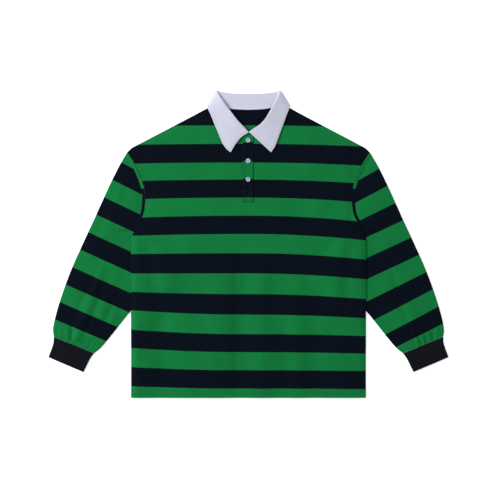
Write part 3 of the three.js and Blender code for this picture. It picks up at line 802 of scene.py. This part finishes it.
# Columns: place along the back neck from the neck point, z of the seam, roll, free edge, turn.
COLLAR_BACK = [
    (0, 4.4, 80.5, 391.3, 6.4, 105.8, 354.6, 3.6, 90),
    (0.1, 4.3, 75, 389.6, 4, 99.5, 353.6, 0.9, 130),
    (0.3, 3.6, 68, 388.2, 3, 90, 349, 0.9, 165),
    (0.6, 3.2, 38, 384.6, 2.9, 46, 336.5, 0.8, 180),
    (1, 3.2, 0, 383.8, 2.9, 0, 332, 0.8, 180),
]
ROLL_RADIUS = 2.1
NECK_START = 0.012  # the collar starts this share of the front neck from the centre


def half_collar(leaf, side):
    """Rows of seam x, y, z, roll x, y, z, edge x, y, z, turn and hollow, from front to centre back."""
    rows = []
    for i, (rx, ry, rz, ex, ey, lift, turn, hollow) in enumerate(leaf):
        sx, sy = through(FRONT_NECK, max(i / len(leaf), NECK_START))
        on_strip = BAND + 2 * GAP + TWILL if i == 0 else 0
        sz = front_top(side * sx, sy) - JERSEY / 6 + on_strip
        ez = front_top(side * ex, ey) + GAP + TWILL / 2 + lift
        rows.append([side * sx, sy, sz, side * rx, ry, rz, side * ex, ey, ez, turn, hollow])
    for at, sz, rx, ry, rz, ex, ey, ez, turn in COLLAR_BACK:
        sx, sy = through(BACK_NECK, 1 - at)
        rows.append([side * sx, sy, sz, side * rx, ry, rz, side * ex, ey, ez, turn, 0])
    return rows


# The two halves share the row at the centre back, so the right half leaves it out.
COLLAR_ROWS = half_collar(LEFT_LEAF, 1) + half_collar(RIGHT_LEAF, -1)[-2::-1]
print("stations round the collar:", len(COLLAR_ROWS))


def across_collar(row, s, side):
    """The point at share s from the neck seam to the free edge of one station."""
    seam, roll, edge = Vector(row[0:3]), Vector(row[3:6]), Vector(row[6:9])
    angle = math.radians(abs(row[9]))
    stand_side = Vector((-math.sin(angle) * side, 0, -math.cos(angle)))
    inward = Vector((seam.x - roll.x, seam.y - roll.y, 0)).normalized()
    outward = Vector((edge.x - roll.x, edge.y - roll.y, 0)).normalized()
    hollow = Vector((outward.y, -outward.x, 0)) * (-row[10] * side)
    stand_top = roll + inward * 0.8 * ROLL_RADIUS + stand_side * ROLL_RADIUS
    fall_top = roll + outward * 0.8 * ROLL_RADIUS - stand_side * ROLL_RADIUS
    points = [
        seam,
        seam.lerp(stand_top, 0.5),
        stand_top,
        roll,
        fall_top,
        fall_top.lerp(edge, 0.33) + hollow,
        fall_top.lerp(edge, 0.66) + hollow * 0.8,
        edge,
    ]
    return Vector(through([tuple(p) for p in points], s))


ROLL_SHARE = 0.43  # the roll lies this share of the way from the seam to the free edge
COLUMNS_ACROSS = [(0,), (0.28,), (0.38,), (0.45,), (0.55,), (0.75,), (1,)]  # closer together at the roll
COLLAR_LENGTH = 480


def place_collar(u, v):
    row = through(COLLAR_ROWS, v)
    side = 1 if v < 0.5 else -1
    s = through(COLUMNS_ACROSS, u)[0]
    point = across_collar(row, s, side)
    stand = math.dist(row[0:2], row[3:5])
    fall = math.dist(row[3:5], row[6:8])
    past_roll = (s - ROLL_SHARE) / (1 - ROLL_SHARE)
    across = mix(0, stand, s / ROLL_SHARE) if s < ROLL_SHARE else stand + fall * past_roll
    from_edge = (1 - past_roll) * fall if s > ROLL_SHARE else FAR
    around = (v - 0.5) * COLLAR_LENGTH
    from_front = (0.5 - abs(v - 0.5)) * COLLAR_LENGTH if s > ROLL_SHARE else FAR
    return tuple(point), (around, across), {"edge": min(from_edge, from_front), "neck": across}


# %% [markdown]
# ## Twill
# Twill is a weave with fine diagonal ribs. The turned rim of the collar and the band along the neck
# seam are one layer thicker, and they are painted a little lighter, a painted highlight. Where the
# cloth is stitched it sinks, and a dark line of painted shade runs there. The attributes `edge` and
# `neck` say how far away the free edge and the neck seam are.

# %% Twill and the collar
RIM_WIDTH, BAND_WIDTH = 3.2, 4.0
STITCHES_IN = 4.0  # the collar's stitches run this far from its edge
TWILL_PITCH = 0.9 * MM


def twill(name):
    n = Nodes(name)
    x, y = n.cloth_xy()
    diagonal = n.math("ADD", x, n.math("MULTIPLY", y, 0.8))
    rib = n.math("SINE", n.math("MULTIPLY", diagonal, 2 * math.pi / TWILL_PITCH))
    yarn = n.math("MULTIPLY_ADD", n.noise(1500, 1), 0.6, n.math("MULTIPLY", rib, 0.5))
    rim = n.math("LESS_THAN", n.attribute("edge"), RIM_WIDTH)
    band = n.math("LESS_THAN", n.attribute("neck"), BAND_WIDTH)
    # a line along the stitches is painted darker: painted shade where the cloth sinks
    from_stitches = n.math("ABSOLUTE", n.math("SUBTRACT", n.attribute("edge"), STITCHES_IN))
    stitch_line_shade = n.math("SUBTRACT", 1.0, n.math("MULTIPLY", from_stitches, 1.1))
    # the rim and the neck band are painted a little lighter: a painted highlight
    painted_highlight = n.math("MULTIPLY", n.math("MAXIMUM", rim, band), 0.09)
    darker = n.math("MULTIPLY", n.math("MAXIMUM", stitch_line_shade, 0.0), 0.16)
    shade = n.math("SUBTRACT", n.math("ADD", painted_highlight, 1.0), darker)
    cloth = n.mix_colour(n.noise(30, 3), DIM_WHITE, WHITE)
    n.join(n.shaded(cloth, shade), n.shader.inputs["Base Color"])
    n.shader.inputs["Roughness"].default_value = 0.85
    n.shader.inputs["Specular IOR Level"].default_value = 0.1
    n.shader.inputs["Sheen Weight"].default_value = 0.03
    n.join(n.bump(yarn, 0.2 * MM, 0.5), n.shader.inputs["Normal"])
    return n.material


white_twill = twill("white twill")
collar = grid_sheet("shirt_collar", 44, 150, place_collar)
finish_piece(collar, white_twill, "collar", wall=TWILL, offset=0, round_edges=0.4)

# %% [markdown]
# ## Placket
# The opening at the neck is finished with two strips. The upper one, folded double, has the
# buttonholes; the lower one fills the slot in the front. The upper strip's left edge, as it is
# seen, is free, with a rounded corner.

# %% Placket strips
PLACKET_LEFT, PLACKET_RIGHT = -14.3, 11.7
PLACKET_BOTTOM, PLACKET_TOP, PLACKET_CORNER = 108.4, 283.2, 8
STRIPE_SHIFT = 3.5  # the strip's stripes lie this far above the front's


def band_top(x, y):
    free_edge = 0.6 * hump(x - PLACKET_LEFT, 7)
    return front_top(x, y) + GAP + BAND + free_edge


def place_upper(u, v):
    x = mix(PLACKET_LEFT, PLACKET_RIGHT, u)
    inset = max(PLACKET_CORNER - (x - PLACKET_LEFT), 0)
    top = PLACKET_TOP - PLACKET_CORNER + math.sqrt(PLACKET_CORNER**2 - inset**2)
    y = mix(PLACKET_BOTTOM, top, v)
    stripe_y = y - STRIPE_SHIFT * ease(0.1, 0.6, v)
    return (x, y, band_top(x, y)), (x, y), {"stripe": body_stripe(x, stripe_y)}


def place_under(u, v):
    x = mix(SLOT_START + GAP, SLOT_END - GAP, u)
    y = mix(SLOT_FOOT + 5, PLACKET_TOP - GAP, v)
    return (x, y, front_top(x, y) - 0.2), (x, y), {"stripe": body_stripe(x, y)}


upper = grid_sheet("shirt_placket_upper", 20, 90, place_upper)
finish_piece(upper, body_cloth, "placket_upper", wall=BAND, round_edges=0.5)
under = grid_sheet("shirt_placket_under", 8, 60, place_under)
finish_piece(under, body_cloth, "placket_under", wall=JERSEY)

# %% [markdown]
# ## Buttons
# Each button is a turned disc with a raised rim: the profile is spun round its axis, and four
# thread holes are cut. The threads' materials are made here too, for the stitches below.

# %% Button and thread materials, and the buttons
BUTTON_RADIUS = 5.9
BUTTON_X, BUTTON_Y = -1, (265.6, 213, 165.7)
HOLE_RADIUS, HOLE_REACH = 0.75, 1.6
BUTTON_PROFILE = [  # distance from the axis and height, from the underside's centre to the top's
    (0, 0), (4.9, 0), (5.6, 0.3), (5.9, 1.0), (5.9, 1.6), (5.6, 2.15),
    (5.0, 2.4), (4.5, 2.35), (3.9, 1.9), (3.2, 1.75), (0, 1.75),
]
BUTTON_SIDES, HOLE_SIDES = 48, 16


def pearl(name):
    n = Nodes(name)
    swirl = n.noise(160, 3)
    n.join(n.mix_colour(swirl, srgb(128, 146, 178), srgb(176, 192, 222)), n.shader.inputs["Base Color"])
    n.shader.inputs["Roughness"].default_value = 0.22
    n.shader.inputs["Coat Weight"].default_value = 0.6
    n.shader.inputs["Coat Roughness"].default_value = 0.1
    return n.material


def thread(name, colour):
    n = Nodes(name)
    darker = (*(v * 0.7 for v in colour[:3]), 1.0)
    n.join(n.mix_colour(n.noise(1200, 1), colour, darker), n.shader.inputs["Base Color"])
    n.shader.inputs["Roughness"].default_value = 0.6
    return n.material


pearl_button = pearl("pearl button")
white_thread = thread("white thread", srgb(176, 178, 196))
green_thread = thread("green thread", srgb(6, 78, 38))
navy_thread = thread("navy thread", srgb(2, 8, 16))


def button_bmesh(centre):
    bm = bmesh.new()
    verts = [bm.verts.new((r * MM, 0, z * MM)) for r, z in BUTTON_PROFILE]
    edges = [bm.edges.new(pair) for pair in zip(verts, verts[1:])]
    bmesh.ops.spin(
        bm, geom=verts + edges, axis=(0, 0, 1), cent=(0, 0, 0),
        angle=2 * math.pi, steps=BUTTON_SIDES, use_merge=True,
    )
    bmesh.ops.remove_doubles(bm, verts=bm.verts, dist=1e-6)
    bmesh.ops.recalc_face_normals(bm, faces=bm.faces)
    bmesh.ops.translate(bm, verts=bm.verts, vec=centre)
    return bm


def drill(obj, centre):
    bm = bmesh.new()
    for i in range(4):
        angle = math.pi / 4 + i * math.pi / 2
        at = Vector(centre) + Vector((math.cos(angle), math.sin(angle), 0)) * HOLE_REACH * MM
        bmesh.ops.create_cone(
            bm, cap_ends=True, segments=HOLE_SIDES, radius1=HOLE_RADIUS * MM, radius2=HOLE_RADIUS * MM,
            depth=8 * MM, matrix=Matrix.Translation(at),
        )
    cutter = mesh_object("drill", bm)
    cut = obj.modifiers.new("holes", "BOOLEAN")
    cut.operation, cut.solver, cut.object = "DIFFERENCE", "EXACT", cutter
    evaluated = obj.evaluated_get(bpy.context.evaluated_depsgraph_get())
    mesh = bpy.data.meshes.new_from_object(evaluated)
    obj.modifiers.clear()
    obj.data = mesh
    bpy.data.objects.remove(cutter)


for index, y in enumerate(BUTTON_Y, start=1):
    seat = max(band_top(BUTTON_X, y + d) for d in (BUTTON_RADIUS, -BUTTON_RADIUS, 0)) + GAP
    centre = Vector((BUTTON_X, y, seat)) * MM
    button = mesh_object(f"shirt_button_{index}", button_bmesh(centre))
    drill(button, centre)
    finish_piece(button, pearl_button, f"button_{index}", round_edges=0)

# %% [markdown]
# ## Stitching
# A stitch is a short bead of thread that lies on the cloth. A run of stitches follows a path of
# points and starts a new stitch at every pitch. All the runs of one kind are one object.

# %% Runs of stitches
STITCH_PITCH, STITCH_LENGTH, THREAD_RADIUS = 3.0, 2.4, 0.36


def walk(path, pitch):
    """Places at every pitch along the path, each with the direction of travel."""
    spots, wait = [], pitch / 2
    for a, b in zip(path, path[1:]):
        a, b = Vector(a), Vector(b)
        length = (b - a).length
        while wait < length:
            spots.append((a.lerp(b, wait / length), (b - a) / length))
            wait += pitch
        wait -= length
    return spots


def stitches(
    name, paths, material, slot, pitch=STITCH_PITCH, length=STITCH_LENGTH, radius=THREAD_RADIUS
):
    bm = bmesh.new()
    for path in paths:
        for spot, way in walk(path, pitch):
            turn = way.to_track_quat("X", "Z").to_matrix().to_4x4()
            size = Matrix.Diagonal((length / 2 * MM, radius * MM, radius * MM, 1))
            place = Matrix.Translation(spot * MM) @ turn @ size
            bmesh.ops.create_uvsphere(bm, u_segments=6, v_segments=4, radius=1, matrix=place)
    obj = mesh_object(name, bm)
    return finish_piece(obj, material, None, round_edges=0)


def on_front(x, y):
    return (x, y, front_top(x, y) + rim_lift(x) + 0.15)


def on_back(x, y):
    return (x, y, back_top(x, y) - JERSEY * (1 + hem_share(y)) + 0.2)


def on_band(x, y):
    return (x, y, band_top(x, y) + 0.2)


def line_on(surface, x0, y0, x1, y1):
    steps = max(2, int(math.hypot(x1 - x0, y1 - y0) / 4))
    return [surface(mix(x0, x1, i / steps), mix(y0, y1, i / steps)) for i in range(steps + 1)]


# %% [markdown]
# ## Hem and placket
# The hem has two rows, on the front and on the underside of the back. The placket has a row along
# each edge, and a box with a cross at its foot that fixes both strips. A short tack beside the foot
# closes the end of the slot.

# %% Hem and placket stitches
HEM_LINES = (HEM_Y + 12.5, HEM_Y + 19.4)
hem_x = HALF_CHEST - 2
front_hem = [line_on(on_front, -hem_x, y, hem_x, y) for y in HEM_LINES]
back_hem = [line_on(on_back, -hem_x, y, hem_x, y) for y in HEM_LINES]
stitches("shirt_hem_stitches", front_hem, green_thread, "striped_jersey")
stitches("shirt_back_hem_stitches", back_hem, green_thread, "striped_jersey")
EDGE_IN, BOX_TOP, BOX_BOTTOM = 1.6, 134.5, 110.2
left_line, right_line = PLACKET_LEFT + EDGE_IN, PLACKET_RIGHT - EDGE_IN
placket_lines = [
    line_on(on_band, left_line, BOX_TOP, left_line, PLACKET_TOP - 6),
    line_on(on_band, right_line, BOX_TOP, right_line, PLACKET_TOP - 1),
]
box = [(left_line, BOX_BOTTOM), (right_line, BOX_BOTTOM), (right_line, BOX_TOP), (left_line, BOX_TOP)]
box_lines = [line_on(on_band, *a, *b) for a, b in zip(box, box[1:] + box[:1])]
box_lines += [line_on(on_band, *box[0], *box[2]), line_on(on_band, *box[1], *box[3])]
fine, bold = dict(pitch=2.4, length=1.9, radius=0.3), dict(pitch=2.1, length=2.0, radius=0.5)
stitches("shirt_placket_stitches", placket_lines, navy_thread, "striped_jersey", **fine)
stitches("shirt_placket_box", box_lines, navy_thread, "striped_jersey", **bold)
tack = [line_on(on_front, 12.8, 118.6, 17.9, 105.8)]
stitches("shirt_placket_tack", tack, green_thread, "striped_jersey", pitch=2.2, length=1.9)

# %% [markdown]
# ## Collar stitches
# One run of stitches follows the collar's whole edge: up the front edge of the left leaf, round the
# free edge, and down the front edge of the right leaf. Which way the collar's surface faces is
# found by a test.


# %% Collar stitches
COLLAR_SKIN, ABOVE_SKIN = TWILL / 2, 0.1
FALL_SHARE = 0.44  # the fall's part of the grid, from the roll to the free edge


def collar_point(u, v, above):
    """A place on the upper skin of the collar's fall."""
    here = Vector(place_collar(u, v)[0])
    small, less = 0.004, 0.002
    along = Vector(place_collar(u, min(v + less, 1))[0]) - Vector(place_collar(u, max(v - less, 0))[0])
    across = Vector(place_collar(min(u + small, 1), v)[0]) - Vector(place_collar(u - small, v)[0])
    normal = along.cross(across).normalized()
    return here + normal * (COLLAR_SKIN + above) * COLLAR_FACE


COLLAR_FACE = 1
if collar_point(0.8, 0.1, 0).z < place_collar(0.8, 0.1)[0][2]:
    COLLAR_FACE = -1


def inset_share(v):
    """How far across the collar, at station v, the stitches along the free edge run."""
    fall = (Vector(place_collar(1 - FALL_SHARE, v)[0]) - Vector(place_collar(1, v)[0])).length
    return 1 - FALL_SHARE * STITCHES_IN / fall


def end_share(u, side):
    """How far along the collar the stitches beside its front edge run."""
    step = 0.004
    ends = (0.0, step) if side > 0 else (1.0, 1 - step)
    length = (Vector(place_collar(u, ends[0])[0]) - Vector(place_collar(u, ends[1])[0])).length
    return ends[0] + side * step * STITCHES_IN / length


FRONT_EDGE_STEPS, FREE_EDGE_STEPS = 14, 120
edge_run = []
for i in range(FRONT_EDGE_STEPS):
    u = mix(0.5, inset_share(0.01), i / FRONT_EDGE_STEPS)
    edge_run.append(collar_point(u, end_share(u, 1), ABOVE_SKIN))
first_v, last_v = end_share(0.95, 1), end_share(0.95, -1)
for i in range(FREE_EDGE_STEPS + 1):
    v = mix(first_v, last_v, i / FREE_EDGE_STEPS)
    edge_run.append(collar_point(inset_share(v), v, ABOVE_SKIN))
for i in range(FRONT_EDGE_STEPS - 1, -1, -1):
    u = mix(0.5, inset_share(0.99), i / FRONT_EDGE_STEPS)
    edge_run.append(collar_point(u, end_share(u, -1), ABOVE_SKIN))
collar_size = dict(pitch=2.8, length=2.2, radius=0.34)
stitches("shirt_collar_stitches", [edge_run], white_thread, "collar_twill", **collar_size)

# %% [markdown]
# ## Floor and light
# The shirt lies on a plain white floor that glows faintly, so that shadows on it stay pale. A soft
# key light comes in low from the upper left, which brings out the creases, and a weak fill lightens
# their dark sides.

# %% Stage
FLOOR_REACH, FLOOR_DROP = 6.0, 0.3 * MM
bm = bmesh.new()
bmesh.ops.create_grid(bm, x_segments=1, y_segments=1, size=FLOOR_REACH)
floor = mesh_object("floor", bm)
floor.data.transform(Matrix.Translation((0, 0, -FLOOR_DROP)))
paper = Nodes("white floor")
paper.shader.inputs["Base Color"].default_value = (0.93, 0.93, 0.93, 1)
paper.shader.inputs["Emission Color"].default_value = (1, 1, 1, 1)
paper.shader.inputs["Emission Strength"].default_value = 0.45
paper.shader.inputs["Roughness"].default_value = 0.9
paper.shader.inputs["Specular IOR Level"].default_value = 0.1
floor.data.materials.append(paper.material)


def soft_light(name, place, size, power):
    data = bpy.data.lights.new(name, "AREA")
    data.shape, data.size, data.energy = "DISK", size, power
    light = bpy.data.objects.new(name, data)
    light.location = place
    light.rotation_mode = "QUATERNION"
    light.rotation_quaternion = (-Vector(place)).to_track_quat("-Z", "Y")
    bpy.context.collection.objects.link(light)
    print(f"{name} light: {power} W")


soft_light("key", (-3.4, 1.9, 2.2), 1.3, 221)
soft_light("fill", (1.6, -1.4, 3.0), 2.5, 25)
world = bpy.data.worlds.new("studio")
world.use_nodes = True
world.node_tree.nodes["Background"].inputs["Color"].default_value = (1, 1, 1, 1)
world.node_tree.nodes["Background"].inputs["Strength"].default_value = 0.46
bpy.context.scene.world = world
bpy.context.scene.view_settings.view_transform = "Standard"

# %% [markdown]
# ## Camera
# The camera looks straight down with a long lens, from as far as it takes to fit the frame's width.

# %% Camera
FRAME_WIDTH, FRAME_CENTRE, LENS = 1278, (3.8, -14.3), 85
camera_data = bpy.data.cameras.new("camera")
camera_data.lens = LENS
camera_data.clip_end = 50
camera = bpy.data.objects.new("camera", camera_data)
distance = FRAME_WIDTH / 2 / (camera_data.sensor_width / 2 / LENS)
camera.location = Vector((*FRAME_CENTRE, distance)) * MM
bpy.context.collection.objects.link(camera)
bpy.context.scene.camera = camera
print("camera height in mm:", round(distance))
